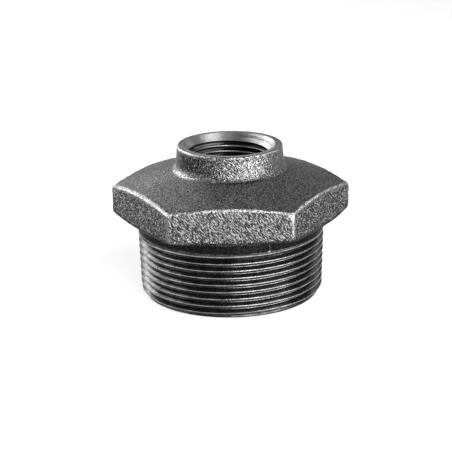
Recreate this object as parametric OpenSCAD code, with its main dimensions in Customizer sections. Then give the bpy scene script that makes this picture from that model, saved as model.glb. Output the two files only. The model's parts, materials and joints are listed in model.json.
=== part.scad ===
// Hexagon reducing bush for screwed steel pipe, one casting in malleable iron.
// The big male taper thread points down, the small female thread opens at the top.
// The origin is the centre of the male end's rim, and +Z runs up the pipe's axis.

/* [Male thread] */
// Major diameter of the male taper thread at its gauge plane
male_d = 59.614; // [59.214:0.1:60.014]
// Distance from one crest to the next along the axis
male_pitch = 2.309; // [2.209:0.05:2.409]
// Distance from the male end to the gauge plane
male_gauge = 15.9; // [14.9:0.1:16.9]
// Height of the threaded length above the male end
male_len = 21; // [19.5:0.1:22]
// Height at which the lowest crest passes the front of the fitting
crest_start = 1.85; // [0.5:0.05:2.3]
// Outer diameter of the rim that the fitting stands on
male_end_d = 56; // [55:0.1:57]
// Height of the chamfer at the male end
male_chamfer = 2; // [1.2:0.1:3]

/* [Neck] */
// Diameter of the smooth band between the thread and the hexagon
neck_d = 59.8; // [59.5:0.1:60.4]
// Radius of the fillet under the hexagon
neck_fillet = 0.8; // [0.4:0.1:1.2]

/* [Hexagon] */
// Width across the flats
hex_af = 65.8; // [64:0.2:68]
// Radius of the upright corners
corner_round = 0.6; // [0.3:0.1:2]
// Height of the lower edge at the middle of a flat
hex_low = 24.9; // [24.2:0.1:27]
// Height of the upper edge at the middle of a flat
hex_high = 36.2; // [34.5:0.1:37.5]
// Fall of the upper cone from the boss to the corners, in degrees
upper_slope = 16; // [12:1:18]
// Rise of the lower cone from the neck to the corners, in degrees
lower_slope = 10; // [5:1:14]

/* [Boss] */
// Height of the whole fitting
total_h = 48.2; // [47.2:0.5:52.2]
// Diameter of the boss at its rim
boss_d = 33.6; // [32.6:0.2:36]
// Draft of the boss, in degrees
boss_draft = 4; // [1:1:6]
// Radius of the fillet at the foot of the boss
boss_fillet = 2.4; // [1:0.2:4]
// Radius of the boss's outer rim edge
rim_round = 0.6; // [0.3:0.1:1]

/* [Female thread] */
// Minor diameter of the female parallel thread
bore_d = 24.117; // [23.917:0.1:24.317]
// Length of the female thread below the rim, with its countersink
female_len = 16.4; // [15:0.2:18]
// Diameter of the countersink at the rim
sink_d = 29.9; // [29:0.1:30.6]
// Angle between the countersink's wall and the axis, in degrees
sink_angle = 39; // [30:1:45]
// Width of the chamfer at the inner end of the female thread
bore_chamfer = 1; // [0.5:0.1:1.5]

/* [Hollow of the male end] */
// Diameter of the hollow at the male end
hollow_d = 46.4; // [45:0.2:48]
// Draft of the hollow's wall, in degrees
hollow_draft = 1.2; // [0.5:0.1:1.5]
// Height at which the hollow's wall meets its roof
hollow_h = 29.6; // [28:0.1:30]
// Radius between the hollow's wall and its roof
hollow_round = 5; // [3:0.5:6]

/* [Hidden] */

// A taper pipe thread of this form grows by one part in sixteen on its diameter
taper = 1 / 32;
// The flanks meet at 55 degrees, and a sixth of the sharp depth is lost at crest and root
thread_depth = male_pitch * 0.6403;
// Half of a crest's width and of a root's width, in pitches
crest_half = 1 / 12;
root_half = 1 / 12;

neck_r = neck_d / 2;
flat_r = hex_af / 2;
corner_r = flat_r / cos(30);
// The turned outside reaches past the corners, and the hexagon trims it
turned_r = corner_r + 0.5;
boss_r = boss_d / 2;
bore_r = bore_d / 2;
sink_r = sink_d / 2;
mouth_r = hollow_d / 2;

// Solid core under the thread, inside the deepest root
core_r = male_end_d / 2 - 1.1;
core_low = 0.5;
// The last crests are washed out to this radius, just inside the neck
washed_r = neck_r - 0.12;
washed_len = 0.9;
// The roots run out into the neck over this length
runout_len = 2.1;
// The threaded sleeve reaches this far into the neck
sleeve_lap = 0.6;
sleeve_top = male_len + sleeve_lap;
// Inner radius of the sleeve, within the hollow that is cut last
sleeve_in = mouth_r - 1.2;

// Facets round the thread, and rows of points: two on each crest and two on each root
around = 60;
rows_per_turn = 4;
row_at = [-crest_half, crest_half, 0.5 - root_half, 0.5 + root_half];
turns = ceil(sleeve_top / male_pitch) + 2;
rows = rows_per_turn * turns;
first_turn = crest_start - 2 * male_pitch;

// Boss foot, where its drafted side meets the upper cone
foot_r = (boss_r + (total_h - cone_z(0)) * tan(boss_draft))
    / (1 - tan(upper_slope) * tan(boss_draft));
$fn = 120;

// Height of the upper cone and of the lower cone at a radius
function cone_z(r) = hex_high + (flat_r - r) * tan(upper_slope);
function under_z(r) = hex_low - (flat_r - r) * tan(lower_slope);

// Radius of the thread's crests at a height
function crest_r(z) = male_d / 2 + (z - male_gauge) * taper;

// Depth below the crest at a distance from the crest's middle, in pitches
function cut(away) =
    away <= crest_half ? 0 :
    away >= 0.5 - root_half ? thread_depth :
    thread_depth * (away - crest_half) / (0.5 - root_half - crest_half);

// Radius of the right-hand thread at a height, at an angle counted from the front
function thread_r(angle, z) =
    let(turn = (z - crest_start) / male_pitch - angle / 360)
    crest_r(z) - cut(abs(turn - round(turn)));

// The same with the end's chamfer, the run-out of the roots and the washed-out crests
function chamfer_r(z) =
    male_end_d / 2 + z * (crest_r(male_chamfer) - male_end_d / 2) / male_chamfer;
function runout_r(z) =
    washed_r - thread_depth * (male_len - z) / runout_len;
function wash_r(z) = z > male_len - washed_len ? washed_r : crest_r(z);
function sleeve_r(angle, z) =
    let(whole = max(thread_r(angle, z), min(runout_r(z), washed_r)))
    min(whole, chamfer_r(z), wash_r(z));

function within(z) = min(max(z, 0), sleeve_top);
function row_z(i, j) =
    within(first_turn + male_pitch * (i / around + floor(j / rows_per_turn)
        + row_at[j % rows_per_turn]));

// A point of the sleeve at a radius, with the angle counted from the front
function polar(r, angle, z) = [r * sin(angle), -r * cos(angle), z];

// Index of a point, where the last column joins the first one turn higher
function at(i, j) =
    i < around ? i * rows + j : min(j + rows_per_turn, rows - 1);

// Threaded sleeve: its rows of points climb with the helix and end at two flat rings
module threaded_sleeve() {
    outer = [for (i = [0:around - 1], j = [0:rows - 1])
        let(angle = i * 360 / around, z = row_z(i, j))
        polar(sleeve_r(angle, z), angle, z)];
    inner = [for (i = [0:around - 1], z = [0, sleeve_top])
        polar(sleeve_in, i * 360 / around, z)];
    first = len(outer);
    skin = [for (i = [0:around - 1], j = [0:rows - 2])
        each [[at(i, j), at(i, j + 1), at(i + 1, j + 1)],
              [at(i, j), at(i + 1, j + 1), at(i + 1, j)]]];
    ends = [for (i = [0:around - 1])
        let(low = first + 2 * i, low_next = first + 2 * ((i + 1) % around),
            last = rows - 1)
        each [[at(i, 0), at(i + 1, 0), low_next], [at(i, 0), low_next, low],
              [low, low_next, low_next + 1], [low, low_next + 1, low + 1],
              [low + 1, low_next + 1, at(i + 1, last)],
              [low + 1, at(i + 1, last), at(i, last)]]];
    polyhedron(concat(outer, inner), concat(skin, ends), convexity = 10);
}

// Area between a round of radius r and the corner p that it is tangent to,
// where the corner's two sides leave p in the directions a1 and a2
module corner_piece(p, a1, a2, r) {
    half = (a2 - a1) / 2;
    middle = (a1 + a2) / 2;
    heading = [cos(middle), sin(middle)];
    centre = p + heading * r / sin(half);
    reach = r / tan(half);
    difference() {
        polygon([
            p - heading * r / 4,
            p + reach * [cos(a1), sin(a1)],
            centre,
            p + reach * [cos(a2), sin(a2)]
        ]);
        translate(centre) circle(r = r);
    }
}

// Half section of the outside, from the solid core under the thread up to the rim
module outer_section() {
    foot = [foot_r, cone_z(foot_r)];
    armpit = [neck_r, under_z(neck_r)];
    rim = [boss_r, total_h];
    difference() {
        union() {
            polygon([
                [0, core_low],
                [core_r, core_low],
                [core_r, male_len],
                [neck_r, male_len],
                armpit,
                [turned_r, under_z(turned_r)],
                [turned_r, cone_z(turned_r)],
                foot,
                rim,
                [0, total_h]
            ]);
            corner_piece(foot, -upper_slope, 90 + boss_draft, boss_fillet);
            corner_piece(armpit, -90, lower_slope, neck_fillet);
        }
        corner_piece(rim, 180, 270 + boss_draft, rim_round);
    }
}

// Half section of the way through: hollow, chamfer, female thread and countersink
module passage_section() {
    over = 1;
    wall = tan(hollow_draft);
    roof_corner = [mouth_r - hollow_h * wall, hollow_h];
    roof_end = [bore_r + bore_chamfer, total_h - female_len - bore_chamfer];
    roof_fall = atan2(roof_end[1] - roof_corner[1], roof_corner[0] - roof_end[0]);
    sink_h = (sink_r - bore_r) / tan(sink_angle);
    difference() {
        polygon([
            [0, -over],
            [mouth_r + over * wall, -over],
            roof_corner,
            roof_end,
            [bore_r, total_h - female_len],
            [bore_r, total_h - sink_h],
            [sink_r + over * tan(sink_angle), total_h + over],
            [0, total_h + over]
        ]);
        corner_piece(roof_corner, 180 - roof_fall, 270 + hollow_draft, hollow_round);
    }
}

// Six-sided bar with rounded corners that trims the turned outside to its flats
module hexagon_bar() {
    linear_extrude(total_h + 1) difference() {
        circle(r = corner_r, $fn = 6);
        for (angle = [0:60:300])
            corner_piece(corner_r * [cos(angle), sin(angle)], angle + 120, angle + 240,
                corner_round);
    }
}

// The whole casting with its cut male thread
module reducer_body() {
    color([0.25, 0.25, 0.26])
    difference() {
        union() {
            intersection() {
                rotate_extrude() outer_section();
                hexagon_bar();
            }
            threaded_sleeve();
        }
        rotate_extrude() passage_section();
    }
}

reducer_body();
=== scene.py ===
import json
import math

import bpy
import numpy as np
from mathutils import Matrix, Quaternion, Vector, noise


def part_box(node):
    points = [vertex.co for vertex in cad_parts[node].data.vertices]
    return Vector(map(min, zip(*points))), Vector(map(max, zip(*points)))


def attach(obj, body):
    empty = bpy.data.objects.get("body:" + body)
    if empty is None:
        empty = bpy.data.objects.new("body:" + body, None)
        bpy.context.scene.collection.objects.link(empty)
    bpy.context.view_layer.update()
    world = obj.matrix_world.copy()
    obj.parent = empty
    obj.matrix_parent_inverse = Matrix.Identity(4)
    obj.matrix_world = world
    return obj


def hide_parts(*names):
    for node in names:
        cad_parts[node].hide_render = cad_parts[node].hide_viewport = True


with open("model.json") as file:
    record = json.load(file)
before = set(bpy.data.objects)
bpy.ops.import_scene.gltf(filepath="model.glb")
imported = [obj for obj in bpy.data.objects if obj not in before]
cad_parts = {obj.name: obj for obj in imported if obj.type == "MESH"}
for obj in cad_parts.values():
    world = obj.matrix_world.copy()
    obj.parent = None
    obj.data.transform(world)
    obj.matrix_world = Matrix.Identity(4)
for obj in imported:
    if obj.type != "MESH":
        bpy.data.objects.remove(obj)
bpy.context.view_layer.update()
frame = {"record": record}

# The casting's skin is worked out in millimetres and made in metres.
# Angles go round the axis from the front, in degrees, and the front is -Y.
MM = 0.001
top_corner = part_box("reducer_body")[1] / MM
mounts = {mount["name"]: mount["dims"] for mount in frame["record"]["mounts"]}

# Hexagon and its two cones
TOTAL_H = top_corner.z
FLAT_R = top_corner.y
CORNER_R = top_corner.x
HEX_LOW = 24.9
HEX_HIGH = 36.2
UPPER_SLOPE = 16
LOWER_SLOPE = 10
EDGE_ROUND = 0.75

# Neck and boss
NECK_R = 29.9
NECK_FILLET = 0.8
BOSS_R = 16.8
BOSS_DRAFT = 4
BOSS_FILLET = 2.4
RIM_ROUND = 0.6

# Male thread: right-hand, eleven to the inch, on a taper of one in sixteen
MALE_R = mounts["male_thread"]["r_mm"]
MALE_LEN = mounts["male_thread"]["length_mm"]
MALE_PITCH = 2.309
MALE_GAUGE = 15.9
MALE_CREST = 1.85
TAPER = 1 / 32
END_R = 28
END_CHAMFER = 2
WASHED_R = NECK_R - 0.12
WASHED_LEN = 0.9
RUNOUT_LEN = 2.1

# Female thread: right-hand, fourteen to the inch, parallel, below a countersink
BORE_R = mounts["female_thread"]["r_mm"]
FEMALE_PITCH = 1.814
FEMALE_LEN = 16.4
FEMALE_ROOT = TOTAL_H - 2.1
SINK_R = 14.6
SINK_ANGLE = 39
BORE_CHAMFER = 1

# Hollow of the male end
HOLLOW_R = 23.2
HOLLOW_DRAFT = 1.2
HOLLOW_H = 29.6
HOLLOW_ROUND = 5

# Pipe thread form, in pitches: depth, and the one radius of crests and roots
THREAD_DEPTH = 0.640327
THREAD_ROUND = 0.137329
HALF_ANGLE = math.radians(27.5)
ROUND_HALF = THREAD_ROUND * math.cos(HALF_ANGLE)
ROUND_DROP = THREAD_ROUND * (1 - math.sin(HALF_ANGLE))
ROUND_MID = THREAD_ROUND * math.sin(math.radians(22))
# Rows of points across one pitch: four on the crest and four in the root
ROW_AT = (-ROUND_HALF, -ROUND_MID, ROUND_MID, ROUND_HALF,
          0.5 - ROUND_HALF, 0.5 - ROUND_MID, 0.5 + ROUND_MID, 0.5 + ROUND_HALF)

# Painted highlight lines in the roots of both threads, weaker than the crests: distance below
# the first line and half their width, in pitches
MALE_HIGHLIGHT_LINE = 0.5
MALE_HIGHLIGHT_HALF = 0.06
FEMALE_HIGHLIGHT_LINE = ROUND_HALF
FEMALE_HIGHLIGHT_HALF = 0.02
# The tap's first scratch in the countersink: where it fades in and out, depth and half width
SCRATCH_SPAN = (50, 75, 156, 168)
SCRATCH_DEPTH = 0.2
SCRATCH_HALF = 0.24
# The male thread's lines fade into painted shade under the hexagon from this far below its end,
# over this length
FADE_START = 0.25
FADE_LEN = 0.4

# Coarseness of the sand in which each part of the casting was moulded
HEXAGON_SAND = 1
BOSS_SAND = 0.75
FOOT_SAND = 0.62
CONE_SAND = 0.5
NECK_SAND = 0.35
LOWER_EDGE_SAND = 0.3
# Swells of the sand-cast skin: their height, and how many there are to a millimetre
SWELLS = ((0.10, 0.17), (0.08, 0.5), (0.07, 1.1))
# Radius of the circle on which the raggedness of the edges is taken
RAGGED_R = 35

# Points round the outside; the inside has every second one
AROUND = 420
# A thread's rows end this far from the flat rings that close it
RING_GAP = 0.02

# Material slots of the skin
CAST, CUT, NECK, TURNED = range(4)


def tan(degrees):
    return math.tan(math.radians(degrees))


def cone_z(r):
    """Height of the upper cone at a radius."""
    return HEX_HIGH + (FLAT_R - r) * tan(UPPER_SLOPE)


def under_z(r):
    """Height of the lower cone at a radius."""
    return HEX_LOW - (FLAT_R - r) * tan(LOWER_SLOPE)


def columns(count):
    """Angles of the points round the skin, from the back, closer together at the corners."""
    turn = np.arange(count) * 6 / count
    return -180 + 60 * (turn + 0.5 * np.sin(2 * np.pi * turn) / (2 * np.pi))


def hexagon_r(phi):
    """Distance from the axis to the hexagon's side, whose corners are rounded."""
    half = math.radians(30)
    off_corner = np.radians(np.abs(phi % 60 - 30))
    corner_round = (FLAT_R / math.cos(half) - CORNER_R) / (1 / math.cos(half) - 1)
    centre = (FLAT_R - corner_round) / math.cos(half)
    reach = math.atan2(corner_round * math.sin(half), centre + corner_round * math.cos(half))
    rounded = centre * np.cos(off_corner) + np.sqrt(
        np.maximum(corner_round ** 2 - (centre * np.sin(off_corner)) ** 2, 0))
    return np.where(off_corner < reach, rounded, FLAT_R / np.cos(half - off_corner))


def thread_drop(away):
    """Depth below the crest at a distance from the crest's middle, both in pitches."""
    crest = THREAD_ROUND - np.sqrt(np.maximum(THREAD_ROUND ** 2 - away ** 2, 0))
    flank = ROUND_DROP + (away - ROUND_HALF) / math.tan(HALF_ANGLE)
    root = THREAD_DEPTH - THREAD_ROUND + np.sqrt(
        np.maximum(THREAD_ROUND ** 2 - (0.5 - away) ** 2, 0))
    return np.where(away < ROUND_HALF, crest, np.where(away > 0.5 - ROUND_HALF, root, flank))


def off_thread(phi, z, start, pitch):
    """Distance along the axis from the nearest turn of a right-hand helix, in pitches."""
    turn = (z - start) / pitch - phi / 360
    return np.abs(turn - np.round(turn))


def male_wear_and_light(phi, z, away):
    """Mark of the male thread: bright crests, a painted highlight line in the roots, and painted
    shade in front and under the hexagon.
    """
    # Painted highlight line in the roots, brighter towards the right
    painted_highlight_line = off_thread(phi, z, MALE_CREST - MALE_HIGHLIGHT_LINE * MALE_PITCH, MALE_PITCH) < MALE_HIGHLIGHT_HALF
    crest_line = np.clip(1.15 - away / ROUND_HALF, 0, 1)
    # Painted shade on the flanks in front
    darkening = np.interp(phi, (-40, 0, 60, 80), (0, 0.15, 0.15, 0.05))
    wear_and_light = np.where(painted_highlight_line, np.interp(phi, (-50, 30), (0.15, 0.6)),
                    crest_line - darkening * (crest_line == 0))
    # Painted shade under the hexagon, next to the neck
    painted_shade_under_hexagon = np.clip((MALE_LEN - FADE_START - z) / FADE_LEN, -1, 0)
    return wear_and_light * np.clip(z / END_CHAMFER, 0, 1) * (1 + painted_shade_under_hexagon) + painted_shade_under_hexagon


def male_r(phi, z):
    """Radius of the male thread with its chamfer, run-out and washed-out crest, and its mark of
    wear and painted light.
    """
    away = off_thread(phi, z, MALE_CREST, MALE_PITCH)
    crest = MALE_R + (z - MALE_GAUGE) * TAPER
    thread = crest - MALE_PITCH * thread_drop(away)
    run_out = WASHED_R - THREAD_DEPTH * MALE_PITCH * (MALE_LEN - z) / RUNOUT_LEN
    end = MALE_R + (END_CHAMFER - MALE_GAUGE) * TAPER
    chamfer = END_R + z * (end - END_R) / END_CHAMFER
    # The last crest sinks over the washed length, and is down half that length below the end
    washed = crest + (WASHED_R - crest) * np.clip((z - MALE_LEN) / WASHED_LEN + 1.5, 0, 1)
    r = np.minimum(np.minimum(np.maximum(thread, run_out), chamfer), washed)
    return r, male_wear_and_light(phi, z, away)


def female_r(phi, z):
    """Radius of the female thread, its chamfer and the scratched countersink, and its mark: bright
    crests, roots painted dark as shade, and painted highlight lines.
    """
    away = off_thread(phi, z, FEMALE_ROOT, FEMALE_PITCH)
    thread = BORE_R + FEMALE_PITCH * (THREAD_DEPTH - thread_drop(away))
    chamfer = BORE_R + TOTAL_H - FEMALE_LEN - z
    sink = SINK_R - (TOTAL_H - z) * tan(SINK_ANGLE)
    path = FEMALE_ROOT + phi / 360 * FEMALE_PITCH
    shown = np.interp(phi, SCRATCH_SPAN, (0, 1, 1, 0))
    scratch = SCRATCH_DEPTH * shown * np.exp(-((z - path) / SCRATCH_HALF) ** 2)
    crest = np.clip((away - 0.5) / ROUND_HALF + 1.25, 0, 1)
    painted_highlight_line = (off_thread(phi, z, FEMALE_ROOT - FEMALE_HIGHLIGHT_LINE * FEMALE_PITCH, FEMALE_PITCH)
            < FEMALE_HIGHLIGHT_HALF)
    # Painted highlight lines in the roots, shown at the back left only
    highlight_shown = np.interp(phi, (-180, -165, -125, -110), (0, 1, 1, 0))
    # Crests bright, and roots painted dark as shade
    wear_and_light = np.where(thread > sink, 2 * crest - 1 + 1.7 * painted_highlight_line * highlight_shown, 0)
    return np.maximum(np.maximum(thread, chamfer), sink + scratch), wear_and_light


# Points of the skin, with two marks each, its faces, and their slots.
# The first mark runs from -1, painted dark and mostly standing for shade, over 0, to 1 on an
# edge worn to bare metal and on painted highlights.
# The grit is the coarseness of the sand that the surface was cast in.
places = []
wear_and_painted_light = []
sand_grit = []
faces = []
face_slots = []


def put(phi, r, z, wear_and_light=0.0, grit=0.5):
    """Adds a ring of points and returns their numbers."""
    r, z, wear_and_light, grit = (np.broadcast_to(value, phi.shape) for value in (r, z, wear_and_light, grit))
    turn = np.radians(phi)
    first = len(places)
    places.extend(zip(r * np.sin(turn), -r * np.cos(turn), z))
    wear_and_painted_light.extend(wear_and_light)
    sand_grit.extend(grit)
    return np.arange(first, len(places))


def add_face(corners, slot):
    """Adds a face unless its corners have run together."""
    kept = [number for i, number in enumerate(corners) if number != corners[i - 1]]
    if len(kept) > 2:
        faces.append(kept)
        face_slots.append(slot)


def band(first, last, slot):
    """Faces between two rings, going up the outside or down the inside, and the second ring."""
    for j in range(len(first)):
        k = (j + 1) % len(first)
        add_face((first[j], first[k], last[k], last[j]), slot)
    return last


def fan_band(sparse, dense, slot, flip=False):
    """Faces between a ring and one of twice as many points."""
    for j in range(len(sparse)):
        here, there = sparse[j], sparse[(j + 1) % len(sparse)]
        a, b, c = dense[2 * j], dense[2 * j + 1], dense[(2 * j + 2) % len(dense)]
        for corners in ((here, b, a), (here, there, b), (there, c, b)):
            add_face(corners[::-1] if flip else corners, slot)


def helix_band(phi, low_ring, high_ring, heights, start, pitch, surface, slot, inside=False):
    """Skin between two flat rings, whose rows of points climb with a right-hand thread."""
    low, high = heights
    count = len(phi)
    first_turn = math.floor((low - start) / pitch) - 2
    last_turn = math.ceil((high - start) / pitch) + 2
    rows = []
    for turn in range(first_turn, last_turn):
        for at in ROW_AT:
            z = start + pitch * (turn + at + phi / 360)
            row = np.where(z < low + RING_GAP, low_ring, high_ring)
            threaded = (z >= low + RING_GAP) & (z <= high - RING_GAP)
            if threaded.any():
                r, wear_and_light = surface(phi[threaded], z[threaded])
                row[threaded] = put(phi[threaded], r, z[threaded], wear_and_light)
            rows.append(row)
    closing = rows[len(ROW_AT):] + [np.full(count, high_ring[0])] * len(ROW_AT)
    for below, above, next_below, next_above in zip(rows, rows[1:], closing, closing[1:]):
        for j in range(count):
            end = j + 1 == count
            corners = (below[j], next_below[0] if end else below[j + 1],
                       next_above[0] if end else above[j + 1], above[j])
            add_face(corners[::-1] if inside else corners, slot)


def heading(angle):
    """Direction in the half section, as radius and height, at an angle above the horizontal."""
    return np.cos(np.radians(angle)), np.sin(np.radians(angle))


def arc(corner, first, last, radius, hollow=False, count=5):
    """Rows of a round between sides that face two angles: radius, height and angle of each."""
    side = -1 if hollow else 1
    (r1, z1), (r2, z2) = heading(first), heading(last)
    reach = side * radius / (1 + r1 * r2 + z1 * z2)
    centre_r, centre_z = corner[0] - reach * (r1 + r2), corner[1] - reach * (z1 + z2)
    rows = []
    for angle in np.linspace(first, last, count):
        r, z = heading(angle)
        rows.append((centre_r + side * radius * r, centre_z + side * radius * z, angle))
    return rows


def between(first, last, count, angle):
    """Rows evenly spaced between two rows, without those two."""
    share = np.arange(1, count + 1) / (count + 1)
    return [(first[0] + s * (last[0] - first[0]), first[1] + s * (last[1] - first[1]), angle)
            for s in share]


def uneven(phi, r, z):
    """Unevenness of the sand-cast skin, in millimetres."""
    turn = np.radians(phi)
    r, z = np.broadcast_to(r, phi.shape), np.broadcast_to(z, phi.shape)
    lifts = []
    for x, y, height in zip(r * np.sin(turn), -r * np.cos(turn), z):
        at = Vector((x, y, height))
        lifts.append(sum(rise * noise.noise(at * waves) for rise, waves in SWELLS))
    return np.array(lifts)


def ragged(phi, seed, finest=1.0):
    """Uneven value round the part, from -1 to 1."""
    turn = np.radians(phi)
    return np.array([
        noise.noise(Vector((RAGGED_R * math.cos(t), RAGGED_R * math.sin(t), seed)) * finest)
        for t in turn])


outer = columns(AROUND)
inner = outer[::2]
side_r = hexagon_r(outer)


def bump(angle, wide, rise):
    """A rise that fades on both sides of an angle."""
    return rise * np.exp(-((outer - angle) / wide) ** 2)


def cast_ring(row, grit, wear_and_light=0.0, lift=0.0):
    """Adds a ring of the cast skin, lifted along the surface's own direction."""
    r, z, angle = row
    r_share, z_share = heading(angle)
    rise = lift + grit * uneven(outer, r, z)
    return put(outer, r + rise * r_share, z + rise * z_share, wear_and_light, grit)


# How bare the corners and the upper edge are worn: most at the front right corner and the
# left edge. The back is unworn and black.
CORNER_WIDE = 0.95
corner_wear = np.exp(-(np.abs(outer % 60 - 30) / CORNER_WIDE) ** 2) * np.interp(
    outer, (-80, -60, -29, 0, 30, 60, 80), (0, 0.6, 0.4, 0.6, 0.85, 0.6, 0))
edge_wear = np.interp(
    outer, (-94, -90, -85, -36, -31, -28, -16, -12, 29, 34, 60, 88, 94),
    (-0.4, 0.6, 1.2, 1.25, 1.15, 1.0, 1.0, 1.25, 1.25, 1.0, 0.95, 0.8, -0.4))
edge_wear = edge_wear * (1 + 0.35 * ragged(outer, 21, 1.5))
# Share of the wear that the rim and the shoulder keep: whole in front, and darkened at the back
wear_share = np.interp(np.abs(outer), (92, 105), (1, -0.4))
# Scratch and gouge on the neck, and the bright patch, nick and notches at the hexagon's edge.
# The nick's marks lie on the upper rows of the hexagon's side, which count from below.
neck_scratch = bump(23.2, 0.4, 0.7)
neck_gouge = bump(22.5, 0.4, -0.35)
corner_flare = bump(28.4, 1.6, 0.9)
nick_marks = {11: bump(28.3, 0.6, -0.9),
              12: bump(29.4, 1, 0.8) - bump(27.3, 0.6, 0.8),
              13: corner_flare}
edge_notches = bump(27.2, 0.7, -0.25) + bump(-13.6, 1.0, 0.25) + bump(-35, 1.2, 0.15)
# Burr that the moulds left along the front's lower edge
along_front = np.interp(outer, (-12, -9, 12.5, 15.5), (0, 1, 1, 0))
burr = along_front * (0.35 + 0.5 * ragged(outer, 5, 1.2))
# Painted shade on the lower edge, on the side's lowest row and on the flats beside the front one
PAINTED_EDGE_SHADE = 0.26
PAINTED_LOWEST_SHADE = 0.2
painted_side_flat_shade = PAINTED_EDGE_SHADE * np.interp(np.abs(outer), (30.8, 32.3), (0, 1)) * (np.abs(outer) < 120)
# The boss has a painted highlight at the front right, partly worn metal, and painted shade at
# its sides; its foot has a painted highlight at the left and painted shade in its crease in
# front; and its rim is worn most at the left and the right
boss_wear_highlight_and_shade = bump(29, 23, 0.62) - bump(-54, 36, 0.27) - bump(80, 20, 0.2)
foot_painted_highlight = bump(-58, 30, 0.92)
foot_painted_shade = bump(15, 35, 0.3)
rim_wear = wear_share * (1 + bump(-55, 25, 0.35) + bump(40, 25, 0.3))

# Edges of the hexagon and of the rim are rounded unevenly, and more at the outer corners or
# the left
lower_round = (EDGE_ROUND * (1 + 0.3 * ragged(outer, 3))
               + bump(90, 7, 1.5) + bump(-90, 7, 0.6))
upper_round = (EDGE_ROUND * (1 + 0.3 * ragged(outer, 8) + bump(-60, 22, 0.3))
               + bump(90, 7, 0.9) + bump(-90, 6, 0.3))
rim_round = RIM_ROUND * (1 + 0.35 * ragged(outer, 12, 1.6) + bump(-70, 35, 0.25))

# Male end: rim, then the thread up to the neck
mouth = put(inner, HOLLOW_R, 0.0)
rim_low = put(outer, END_R, 0.0)
fan_band(mouth, rim_low, CUT, flip=True)
neck_foot = put(outer, WASHED_R, MALE_LEN)
helix_band(outer, rim_low, neck_foot, (0.0, MALE_LEN), MALE_CREST, MALE_PITCH, male_r, CUT)

# Neck, which steps out above the thread, and the cone under the hexagon
NECK_STEP = 0.06
below, above = -90 + LOWER_SLOPE, 90 - UPPER_SLOPE
last = put(outer, NECK_R, MALE_LEN + NECK_STEP, np.interp(outer, (-60, 0, 60), (0.6, 0.6, 1.1)))
# The neck's slot takes the material painted near black as the shade under the hexagon
band(neck_foot, last, NECK)
armpit = arc((NECK_R, under_z(NECK_R)), 0, below, NECK_FILLET, hollow=True)
for row in between((NECK_R, MALE_LEN, 0), armpit[0], 5, 0) + armpit:
    last = band(last, cast_ring(row, NECK_SAND, neck_scratch, neck_gouge), NECK)
lower_edge = arc((side_r, under_z(side_r)), below, 0, lower_round)
for row in between(armpit[-1], lower_edge[0], 8, below):
    last = band(last, cast_ring(row, HEXAGON_SAND), CAST)

# Hexagon's side, from its lower edge with the burr to its rounded upper edge
for row, wear in zip(lower_edge, (0.8, 0.8, 0.3, 0, 0)):
    # The lower edge's round is painted dark as shade, beside the burr's bare metal
    wear_and_light = wear * burr + bump(-26.5, 4.5, 0.2) - PAINTED_EDGE_SHADE
    last = band(last, cast_ring(row, LOWER_EDGE_SAND, wear_and_light, 0.1 * burr), CAST)
upper_edge = arc((side_r, cone_z(side_r)), 0, above, upper_round)
for number, row in enumerate(between(lower_edge[-1], upper_edge[0], 14, 0)):
    # The lowest row and the flats beside the front one are painted dark as shade
    darkening = np.maximum(painted_side_flat_shade, PAINTED_LOWEST_SHADE * (number == 0))
    wear_and_light = corner_wear * (0.85 + 0.02 * number) + nick_marks.get(number, 0) - darkening
    last = band(last, cast_ring(row, HEXAGON_SAND, wear_and_light), CAST)
for row, wear in zip(upper_edge, (0.1, 0.5, 0.85, 1, 0.85)):
    wear_and_light = np.maximum(wear * edge_wear, corner_wear + corner_flare * (wear < 0.6))
    last = band(last, cast_ring(row, HEXAGON_SAND, wear_and_light, edge_notches * wear), CAST)

# Shoulder's cone, with painted light at the left
foot_r = ((BOSS_R + (TOTAL_H - cone_z(0)) * tan(BOSS_DRAFT))
          / (1 - tan(UPPER_SLOPE) * tan(BOSS_DRAFT)))
foot = arc((foot_r, cone_z(foot_r)), above, BOSS_DRAFT, BOSS_FILLET, hollow=True, count=7)
for row, wear in zip(between(upper_edge[-1], foot[0], 30, above), [0.35] + [0] * 29):
    darkening = np.minimum(wear_share, 0) * (wear > 0)
    wear_and_light = bump(-80, 42, 0.42) + wear * edge_wear + darkening
    last = band(last, cast_ring(row, CONE_SAND + bump(-60, 35, 0.25), wear_and_light), CAST)

# Boss up to its turned rim
rim_edge = arc((BOSS_R, TOTAL_H), BOSS_DRAFT, 90, rim_round)
# The foot's round carries the painted highlight at the left and the painted shade in front
for row, wear, shade in zip(foot, (0.6, 0.9, 1, 0.9, 0.6, 0.3, 0.1), (1, 1, 0.5, 0, 0, 0, 0)):
    wear_and_light = foot_painted_highlight * wear + boss_wear_highlight_and_shade * (1 - wear) - foot_painted_shade * shade
    last = band(last, cast_ring(row, FOOT_SAND, wear_and_light), CAST)
# The boss carries the painted highlight at the front right and painted shade at its sides
for row in between(foot[-1], rim_edge[0], 9, BOSS_DRAFT):
    last = band(last, cast_ring(row, BOSS_SAND, boss_wear_highlight_and_shade), CAST)
for row, wear, grit in zip(rim_edge, (0.2, 0.55, 0.85, 0.75, 0.4), (0.8, 0.6, 0.4, 0.2, 0)):
    last = band(last, cast_ring(row, grit, wear * rim_wear), CAST)
# The turned rim's face is painted brighter in front, as a painted sheen
rim_high = put(inner, SINK_R, TOTAL_H, np.interp(np.abs(inner), (20, 60, 100), (1, 0.65, 0.4)))
fan_band(rim_high, last, TURNED)

# Countersink, female thread and its lower chamfer
roof_edge = (BORE_R + BORE_CHAMFER, TOTAL_H - FEMALE_LEN - BORE_CHAMFER)
last = put(inner, *roof_edge)
helix_band(inner, last, rim_high, (roof_edge[1], TOTAL_H), FEMALE_ROOT, FEMALE_PITCH,
           female_r, TURNED, inside=True)

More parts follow.
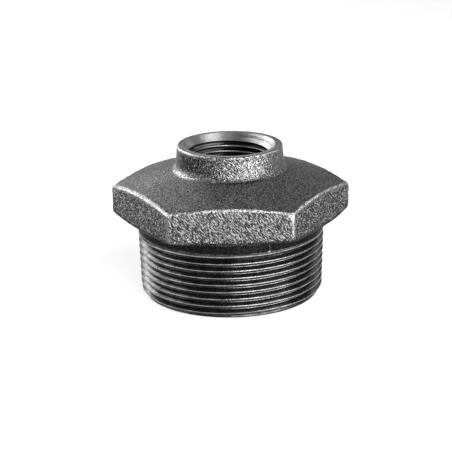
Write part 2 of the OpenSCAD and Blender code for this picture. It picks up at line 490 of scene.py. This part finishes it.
# Cast hollow: roof, round and wall, down to the mouth
roof_corner = (HOLLOW_R - HOLLOW_H * tan(HOLLOW_DRAFT), HOLLOW_H)
roof_fall = math.degrees(math.atan2(roof_edge[1] - roof_corner[1], roof_corner[0] - roof_edge[0]))
roof_side, wall_side = -90 - roof_fall, -180 + HOLLOW_DRAFT
roof_round = arc(roof_corner, roof_side, wall_side, HOLLOW_ROUND, hollow=True, count=9)
wall = between(roof_round[-1], (HOLLOW_R, 0, 0), 16, wall_side)
for r, z, angle in between((*roof_edge, 0), roof_round[0], 5, roof_side) + roof_round + wall:
    r_share, z_share = heading(angle)
    rise = uneven(inner, r, z)
    last = band(last, put(inner, r + rise * r_share, z + rise * z_share), CAST)
band(last, mouth, CAST)


def fill(socket, value):
    """Links a socket to another one, or sets it."""
    if isinstance(value, bpy.types.NodeSocket):
        socket.id_data.links.new(value, socket)
    else:
        socket.default_value = value


def node(tree, kind, links=None, **settings):
    """Adds a shader node. Links fill its sockets, and settings are the node's own."""
    made = tree.nodes.new(kind)
    for name, value in settings.items():
        setattr(made, name, value)
    for name, value in (links or {}).items():
        fill(made.inputs[name], value)
    return made


def set_shader(shader, **values):
    """Fills the sockets of a shader, whose names are written with underscores."""
    for name, value in values.items():
        fill(shader.inputs[name.replace("_", " ")], value)


def ramp(tree, value, *stops):
    """Colour ramp of greys: each stop is a place and a grey."""
    made = node(tree, "ShaderNodeValToRGB", {"Fac": value})
    steps = made.color_ramp.elements
    steps[0].position, steps[1].position = stops[0][0], stops[-1][0]
    for at, grey in stops[1:-1]:
        steps.new(at)
    for step, (at, grey) in zip(steps, stops):
        step.color = (grey, grey, grey, 1)
    return made.outputs["Color"]


def grain(tree, where, scale, detail=3, roughness=0.55):
    """Noise with features a metre over scale wide."""
    return node(tree, "ShaderNodeTexNoise", {"Vector": where, "Scale": scale, "Detail": detail,
                                             "Roughness": roughness}).outputs["Fac"]


# Sockets of a Mix node that mixes colours
FIRST_COLOUR, SECOND_COLOUR, MIXED_COLOUR = 6, 7, 2


def blend(tree, share, first, second):
    """Colour between two colours."""
    links = {"Factor": share, FIRST_COLOUR: first, SECOND_COLOUR: second}
    return node(tree, "ShaderNodeMix", links, data_type="RGBA").outputs[MIXED_COLOUR]


def maths(tree, operation, *values):
    """Result of a Math node."""
    return node(tree, "ShaderNodeMath", dict(enumerate(values)), operation=operation).outputs[0]


def rescale(tree, value, first, last, start=0.0, end=1.0):
    """Value that runs from start to end while the given one runs from first to last."""
    return node(tree, "ShaderNodeMapRange", {"Value": value, "From Min": first, "From Max": last,
                                             "To Min": start, "To Max": end}).outputs["Result"]


def relief(tree, height, distance, **links):
    """Surface direction of a fine relief."""
    return node(tree, "ShaderNodeBump", {"Height": height, "Distance": distance,
                                         **links}).outputs["Normal"]


def point_mark(tree, name):
    """One of the marks that each point of the skin carries."""
    return node(tree, "ShaderNodeAttribute", attribute_name=name).outputs["Fac"]


def dark_share(tree, wear_and_light_mark):
    """Share of a surface that is painted dark, from its mark below 0: mostly painted shade."""
    return rescale(tree, wear_and_light_mark, 0, -0.3)


def material(name):
    """A new material with its tree, its main shader, the place on the part and the mark of wear
    and painted light.
    """
    made = bpy.data.materials.new(name)
    made.use_nodes = True
    tree = made.node_tree
    where = node(tree, "ShaderNodeTexCoord").outputs["Object"]
    return made, tree, tree.nodes["Principled BSDF"], where, point_mark(tree, "wear_and_painted_light")


def cast_skin():
    """Black sand-cast skin: slanting grains of varying tone, painted brighter where they stand
    proud as light on the relief, ragged edges, and painted shade.
    """
    made, tree, shader, where, wear_and_light_mark = material("cast_skin")
    grit = point_mark(tree, "sand_grit")
    slanting = node(tree, "ShaderNodeMapping",
                    {"Vector": where, "Rotation": (0, math.radians(-38), 0), "Scale": (1, 1, 2.8)},
                    vector_type="TEXTURE").outputs["Vector"]
    coarse = grain(tree, slanting, 3150, detail=0)
    fine = grain(tree, where, 3400, detail=0)
    lumps = grain(tree, where, 1500, detail=2)
    patches = grain(tree, where, 160)
    smooth = ramp(tree, fine, (0.35, 0.038), (0.55, 0.108), (0.7, 0.58))
    strokes = maths(tree, "MULTIPLY_ADD", fine, 0.35, coarse)
    gritty = ramp(tree, strokes, (0.49, 0.028), (0.675, 0.074), (0.85, 0.27))
    share = rescale(tree, maths(tree, "ADD", patches, grit), 1.05, 1.35)
    skin = blend(tree, share, smooth, gritty)
    broken = maths(tree, "MULTIPLY", wear_and_light_mark, maths(tree, "MULTIPLY_ADD", lumps, 2.4, -0.2))
    broken = maths(tree, "MULTIPLY_ADD", fine, 1.9, maths(tree, "SUBTRACT", broken, 0.95))
    metal = rescale(tree, broken, 0.6, 1.4, 0.26, 0.8)
    colour = blend(tree, ramp(tree, broken, (0.45, 0), (0.6, 1)), skin, metal)
    specks = grain(tree, where, 2500, detail=0)
    specks = maths(tree, "ADD", specks, rescale(tree, grit, 0, 1, -0.35, 0))
    dark = ramp(tree, specks, (0.4, 0.004), (0.56, 0.014), (0.7, 0.55))
    # Painted shade: below 0 the mark turns the skin near black and lowers its specular tint
    colour = blend(tree, dark_share(tree, wear_and_light_mark), colour, dark)
    bumps = relief(tree, coarse, maths(tree, "MULTIPLY", grit, 0.0004))
    bumps = relief(tree, fine, 0.00012, Normal=bumps)
    # The boss's rim is more polished than the skin below it
    height = node(tree, "ShaderNodeSeparateXYZ", {"Vector": where}).outputs["Z"]
    polish = rescale(tree, height, 0.0402, 0.0425, 0.45, 0.32)
    set_shader(shader, Base_Color=colour, Metallic=0.95, Roughness=polish, Normal=bumps,
               Specular_Tint=rescale(tree, wear_and_light_mark, 0, -0.3, 1, 0.72))
    return made


def cut_thread():
    """Cut thread: dark flanks, bright, slightly broken crests, painted highlight lines in the
    roots, and painted shade in front and under the hexagon.
    """
    made, tree, shader, where, wear_and_light_mark = material("cut_thread")
    streaks = grain(tree, where, 350, detail=4, roughness=0.7)
    fine = grain(tree, where, 1800)
    dark = ramp(tree, streaks, (0.35, 0.02), (0.65, 0.07))
    bright = ramp(tree, streaks, (0.35, 0.25), (0.65, 0.5))
    darkening = ramp(tree, fine, (0.35, 0.008), (0.65, 0.03))
    broken = maths(tree, "MULTIPLY", wear_and_light_mark, maths(tree, "ADD", fine, 0.5))
    colour = blend(tree, ramp(tree, broken, (0.35, 0), (0.9, 1)), dark, bright)
    colour = blend(tree, dark_share(tree, wear_and_light_mark), colour, darkening)
    set_shader(shader, Base_Color=colour, Metallic=0.9,
               Roughness=ramp(tree, fine, (0.3, 0.22), (0.7, 0.3)),
               Normal=relief(tree, fine, 0.00003))
    return made


def painted_shade_neck():
    """Neck: smoother than the cast skin, painted near black with weak reflections as the shade
    under the hexagon, with a bright scratch and step.
    """
    made, tree, shader, where, wear_and_light_mark = material("painted_shade_neck")
    fine = grain(tree, where, 1500)
    dark = ramp(tree, fine, (0.35, 0.004), (0.65, 0.02))
    bright = ramp(tree, fine, (0.35, 0.1), (0.65, 0.25))
    broken = maths(tree, "MULTIPLY", wear_and_light_mark, fine)
    colour = blend(tree, ramp(tree, broken, (0.2, 0), (0.4, 1)), dark, bright)
    set_shader(shader, Base_Color=colour, Metallic=0.9, Specular_IOR_Level=0.1,
               Specular_Tint=(0.6, 0.6, 0.6, 1), Roughness=0.4,
               Normal=relief(tree, fine, 0.00008))
    return made


def turned_face():
    """Turned rim and countersink in steel grey with a painted sheen on the rim's front, and the
    female thread with bright crests, painted highlight lines and roots painted dark as shade.
    """
    made, tree, shader, where, wear_and_light_mark = material("turned_face")
    cloudy = grain(tree, where, 220)
    fine = grain(tree, where, 1600)
    grey = ramp(tree, cloudy, (0.3, 0.22), (0.7, 0.36))
    bright = ramp(tree, fine, (0.35, 0.6), (0.65, 0.9))
    painted_root_shade = ramp(tree, fine, (0.35, 0.006), (0.65, 0.025))
    turned = blend(tree, ramp(tree, wear_and_light_mark, (0.4, 0), (1, 1)), grey, bright)
    set_shader(shader, Base_Color=blend(tree, dark_share(tree, wear_and_light_mark), turned, painted_root_shade), Metallic=0.9,
               Roughness=ramp(tree, fine, (0.3, 0.32), (0.7, 0.46)),
               Normal=relief(tree, fine, 0.00006))
    return made


# Faces that meet at more than this angle have a sharp edge between them
SHARP_ANGLE = math.radians(48)
skin_mesh = bpy.data.meshes.new("reducer_skin")
skin_mesh.from_pydata([Vector(place) * MM for place in places], [], faces)
skin_mesh.polygons.foreach_set("material_index", face_slots)
for name, values in (("wear_and_painted_light", wear_and_painted_light), ("sand_grit", sand_grit)):
    marks = skin_mesh.attributes.new(name, "FLOAT", "POINT")
    marks.data.foreach_set("value", [float(value) for value in values])
skin_mesh.shade_smooth()
skin_mesh.set_sharp_from_angle(angle=SHARP_ANGLE)
skin_mesh.validate()
skin_mesh.update()
skin = bpy.data.objects.new("reducer_skin", skin_mesh)
bpy.context.scene.collection.objects.link(skin)
for made in (cast_skin(), cut_thread(), painted_shade_neck(), turned_face()):
    skin_mesh.materials.append(made)
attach(skin, "root")
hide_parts("reducer_body")

# Floor: grey to the light, white to the camera and in reflections, and clear from below
FLOOR_HALF = 3.0
FLOOR_GREY = 0.5
FLOOR_GLOW = 0.62
floor_mesh = bpy.data.meshes.new("floor")
floor_mesh.from_pydata([(x * FLOOR_HALF, y * FLOOR_HALF, 0)
                        for x, y in ((-1, -1), (1, -1), (1, 1), (-1, 1))], [], [(0, 1, 2, 3)])
floor = bpy.data.objects.new("floor", floor_mesh)
bpy.context.scene.collection.objects.link(floor)
pale = bpy.data.materials.new("pale_floor")
pale.use_nodes = True
tree = pale.node_tree
tree.nodes.clear()
path = node(tree, "ShaderNodeLightPath").outputs
seen = maths(tree, "MAXIMUM", path["Is Camera Ray"], path["Is Glossy Ray"])
seen = maths(tree, "MAXIMUM", seen, path["Is Transmission Ray"])
glow = node(tree, "ShaderNodeEmission", {"Strength": maths(tree, "MULTIPLY", seen, FLOOR_GLOW)})
paint = node(tree, "ShaderNodeBsdfDiffuse", {"Color": (FLOOR_GREY, FLOOR_GREY, FLOOR_GREY, 1)})
both = node(tree, "ShaderNodeAddShader", {0: paint.outputs[0], 1: glow.outputs[0]})
clear = node(tree, "ShaderNodeBsdfTransparent")
under = node(tree, "ShaderNodeNewGeometry").outputs["Backfacing"]
one_sided = node(tree, "ShaderNodeMixShader", {0: under, 1: both.outputs[0], 2: clear.outputs[0]})
node(tree, "ShaderNodeOutputMaterial", {"Surface": one_sided.outputs[0]})
floor_mesh.materials.append(pale)

# Soft grey surroundings
WORLD_LIGHT = 0.04
world = bpy.data.worlds.new("studio")
world.use_nodes = True
world.node_tree.nodes["Background"].inputs["Color"].default_value = (1, 1, 1, 1)
world.node_tree.nodes["Background"].inputs["Strength"].default_value = WORLD_LIGHT
bpy.context.scene.world = world

# Lamps look at this height above the floor and stand this far from there, in metres
LAMP_AIM_H = 0.03
LAMP_AWAY = 0.7


def softbox(name, azimuth, elevation, width, height, power):
    """Rectangular lamp that looks at the part. Azimuth 0 is the camera's side and 90 is +X."""
    a, e = math.radians(azimuth), math.radians(elevation)
    place = Vector((math.sin(a) * math.cos(e), -math.cos(a) * math.cos(e), math.sin(e)))
    lamp = bpy.data.lights.new(name, "AREA")
    lamp.shape = "RECTANGLE"
    lamp.size = width
    lamp.size_y = height
    lamp.energy = power
    made = bpy.data.objects.new(name, lamp)
    made.location = place * LAMP_AWAY + Vector((0, 0, LAMP_AIM_H))
    made.rotation_mode = "QUATERNION"
    made.rotation_quaternion = place.to_track_quat("Z", "Y")
    bpy.context.scene.collection.objects.link(made)


softbox("key_light", 35, 5, 1.0, 0.3, 7.4)
softbox("front_light", 20, 25, 0.3, 0.3, 2.4)
softbox("right_light", 68, 15, 0.3, 0.3, 0.7)
softbox("high_right_light", 64, 52, 0.3, 0.3, 1.8)
softbox("back_left_light", -135, 22, 0.3, 0.3, 2.0)
softbox("far_left_light", -155, 28, 0.3, 0.3, 0.35)
softbox("left_light", -120, 25, 0.3, 0.3, 0.8)
softbox("high_left_light", -105, 50, 0.3, 0.3, 1.1)
softbox("low_left_light", -80, 8, 0.5, 0.3, 1.2)
softbox("back_right_light", 140, 25, 0.3, 0.3, 0.3)
softbox("back_light", 180, 18, 0.5, 0.25, 0.15)

# Camera fitted to the photograph: aim, distance and sensor in millimetres, frame, focal length
# and centre in pixels
AIM_H = 24
AWAY = 485.2
SENSOR_MM = 36
FRAME_PX = 452
FOCAL_PX = 1503.6
CENTRE_PX = (230.74, 216.21)
ELEVATION = math.radians(17.75)
ROLL = math.radians(-0.92)
camera_data = bpy.data.cameras.new("camera")
camera_data.sensor_width = SENSOR_MM
camera_data.lens = SENSOR_MM * FOCAL_PX / FRAME_PX
camera_data.shift_x = (FRAME_PX / 2 - CENTRE_PX[0]) / FRAME_PX
camera_data.shift_y = (CENTRE_PX[1] - FRAME_PX / 2) / FRAME_PX
camera_data.clip_start = 0.01
camera_data.clip_end = 20
camera = bpy.data.objects.new("camera", camera_data)
bpy.context.scene.collection.objects.link(camera)
back = Vector((0, -math.cos(ELEVATION), math.sin(ELEVATION)))
camera.location = (Vector((0, 0, AIM_H)) + back * AWAY) * MM
camera.rotation_mode = "QUATERNION"
camera.rotation_quaternion = (-back).to_track_quat("-Z", "Y") @ Quaternion((0, 0, 1), ROLL)
bpy.context.scene.camera = camera
bpy.context.scene.view_settings.view_transform = "Standard"
